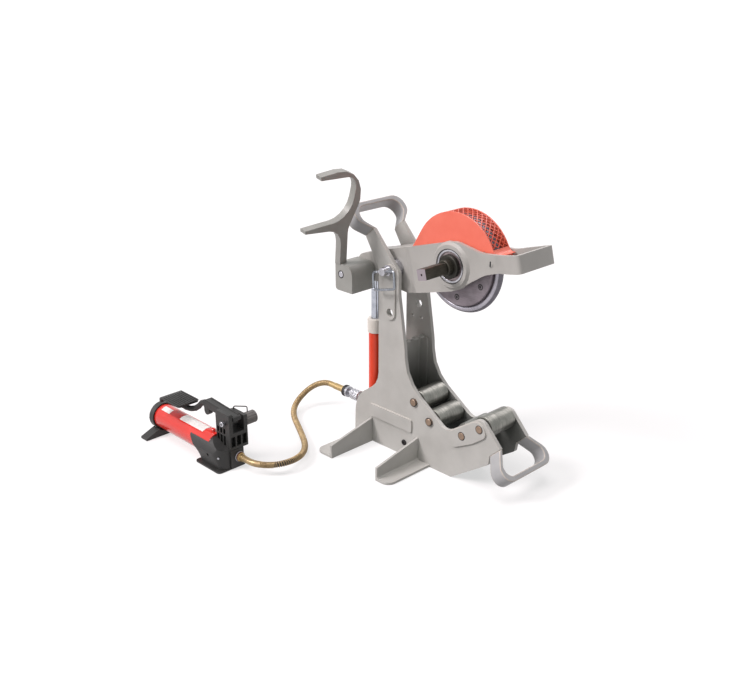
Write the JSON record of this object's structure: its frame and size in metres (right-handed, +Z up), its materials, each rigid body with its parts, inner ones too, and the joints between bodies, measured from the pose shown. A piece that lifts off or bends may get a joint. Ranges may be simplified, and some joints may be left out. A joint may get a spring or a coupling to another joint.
{
  "type": "power pipe cutter",
  "caption": "Power pipe cutter: two-plate roller stand with a hydraulic lift cylinder, a swinging arm with a guarded cutting wheel, a support fork and a foot pump on a hose.",
  "frame": {"origin": "on the ground under the axis of the pipe that lies on the rollers, midway between the two side plates, at the underside of the base cross plate", "axes": "+Z up; +X along the stand, from the lift cylinder towards the front carrying handle; +Y along the pipe, away from the drive shaft's square end"},
  "size_m": [0.8435, 0.5242, 0.677],
  "materials": {
    "casting_grey": "satin grey paint over cast and cut metal",
    "orange_paint": "orange-red enamel",
    "cream_collar": "cream moulding",
    "chrome_rod": "hard chrome, polished",
    "roller_iron": "dark grey, scuffed",
    "dark_steel": "oiled dark steel",
    "bright_steel": "bright machined steel",
    "disc_steel": "ground grey steel",
    "pump_black": "black moulding",
    "tank_red": "gloss red paint",
    "brass_fitting": "dull brass",
    "hose_spring": "tan spring-wound hose"
  },
  "bodies": {
    "frame": {"near_side_plate": "casting_grey", "far_side_plate": "casting_grey", "rear_web_channel": "casting_grey", "base_cross_plate": "casting_grey", "rear_foot": "casting_grey", "front_foot": "casting_grey", "top_handle": "casting_grey", "front_handle": "casting_grey", "rear_outer_roller_pin": "bright_steel", "rear_inner_roller_pin": "bright_steel", "front_inner_roller_pin": "bright_steel", "front_outer_roller_pin": "bright_steel", "lift_cylinder_tube": "orange_paint", "cylinder_collar": "cream_collar", "cylinder_bracket": "casting_grey", "cylinder_pin": "bright_steel", "port_nipple": "bright_steel", "coupler_body": "bright_steel", "hose_ferrule": "brass_fitting", "hose": "hose_spring", "outlet_ferrule": "brass_fitting", "pump_tank": "tank_red", "pump_end_cap": "pump_black", "pump_rear_foot": "pump_black", "pump_base_plate": "pump_black", "pump_body": "pump_black", "pump_upright": "pump_black", "lever_pin": "bright_steel", "tank_filler": "tank_red"},
    "cutter_arm": {"cutter_arm": "casting_grey", "near_pivot_spacer": "bright_steel", "far_pivot_spacer": "bright_steel", "near_hub_bearing": "bright_steel", "far_hub_bearing": "bright_steel", "near_snap_ring": "dark_steel", "far_snap_ring": "dark_steel", "near_guard_screw": "dark_steel", "far_guard_screw": "dark_steel", "wheel_guard": "orange_paint", "guard_mesh": "orange_paint", "tail_pin": "bright_steel"},
    "spindle": {"drive_shaft": "dark_steel", "cutter_wheel": "bright_steel", "near_wheel_disc": "disc_steel", "far_wheel_disc": "disc_steel"},
    "support_arm": {"support_arm": "casting_grey"},
    "lift_rod": {"lift_rod": "chrome_rod", "rod_eye": "bright_steel"},
    "pivot_pin": {"pivot_pin": "bright_steel"},
    "pin_bail": {"pin_bail": "bright_steel"},
    "coupler_sleeve": {"coupler_sleeve": "bright_steel"},
    "rear_outer_roller": {"rear_outer_roller": "roller_iron"},
    "rear_inner_roller": {"rear_inner_roller": "roller_iron"},
    "front_inner_roller": {"front_inner_roller": "roller_iron"},
    "front_outer_roller": {"front_outer_roller": "roller_iron"},
    "foot_lever": {"pump_lever": "pump_black", "foot_pedal": "pump_black"},
    "pump_plunger": {"pump_plunger": "bright_steel"},
    "release_knob": {"release_knob": "pump_black"},
    "pedal_latch": {"pedal_latch": "dark_steel"}
  },
  "joints": [
    {"name": "arm_swing", "type": "hinge", "parent": "frame", "child": "cutter_arm", "pos_m": [-0.1798, 0, 0.4435], "axis": [0, 1, 0], "range_deg": [-10, 28]},
    {"name": "rod_stroke", "type": "slide", "parent": "frame", "child": "lift_rod", "axis": [0, 0, 1], "range_m": [-0.017, 0.0475]},
    {"name": "wheel_spin", "type": "hinge", "parent": "cutter_arm", "child": "spindle", "pos_m": [-0.01015, 0, 0.48643], "axis": [0, 1, 0], "continuous": true},
    {"name": "support_swing", "type": "hinge", "parent": "cutter_arm", "child": "support_arm", "pos_m": [-0.27652, 0, 0.42418], "axis": [0, 1, 0], "range_deg": [-8, 35]},
    {"name": "pivot_pin_pull", "type": "slide", "parent": "frame", "child": "pivot_pin", "axis": [0, -1, 0], "range_m": [0, 0.11]},
    {"name": "bail_swing", "type": "hinge", "parent": "pivot_pin", "child": "pin_bail", "pos_m": [-0.1798, -0.07, 0.4435], "axis": [-0.9694, 0, -0.2453], "range_deg": [-4, 150]},
    {"name": "sleeve_slide", "type": "slide", "parent": "frame", "child": "coupler_sleeve", "axis": [-1, 0, 0], "range_m": [0, 0.006]},
    {"name": "pedal_stroke", "type": "hinge", "parent": "frame", "child": "foot_lever", "pos_m": [-0.37, -0.363, 0.112], "axis": [0, 1, 0], "range_deg": [0, 40]},
    {"name": "plunger_stroke", "type": "slide", "parent": "frame", "child": "pump_plunger", "axis": [0, 0, 1], "range_m": [0, 0.0138]},
    {"name": "knob_turn", "type": "hinge", "parent": "frame", "child": "release_knob", "pos_m": [-0.372, -0.32, 0.103], "axis": [0, 1, 0], "range_deg": [0, 180]},
    {"name": "latch_swing", "type": "hinge", "parent": "frame", "child": "pedal_latch", "pos_m": [-0.395, -0.339, 0.129], "axis": [0, 0, 1], "range_deg": [0, 90]},
    {"name": "rear_outer_roller_spin", "type": "hinge", "parent": "frame", "child": "rear_outer_roller", "pos_m": [-0.09755, 0, 0.14711], "axis": [0, 1, 0], "continuous": true},
    {"name": "rear_inner_roller_spin", "type": "hinge", "parent": "frame", "child": "rear_inner_roller", "pos_m": [-0.04904, 0, 0.11454], "axis": [0, 1, 0], "continuous": true},
    {"name": "front_inner_roller_spin", "type": "hinge", "parent": "frame", "child": "front_inner_roller", "pos_m": [0.04904, 0, 0.11454], "axis": [0, 1, 0], "continuous": true},
    {"name": "front_outer_roller_spin", "type": "hinge", "parent": "frame", "child": "front_outer_roller", "pos_m": [0.09755, 0, 0.14711], "axis": [0, 1, 0], "continuous": true}
  ],
  "couplings": [
    {"joint": "rod_stroke", "follows": "arm_swing", "m_per_rad": 0.0968},
    {"joint": "plunger_stroke", "follows": "pedal_stroke", "m_per_rad": 0.0195}
  ]
}
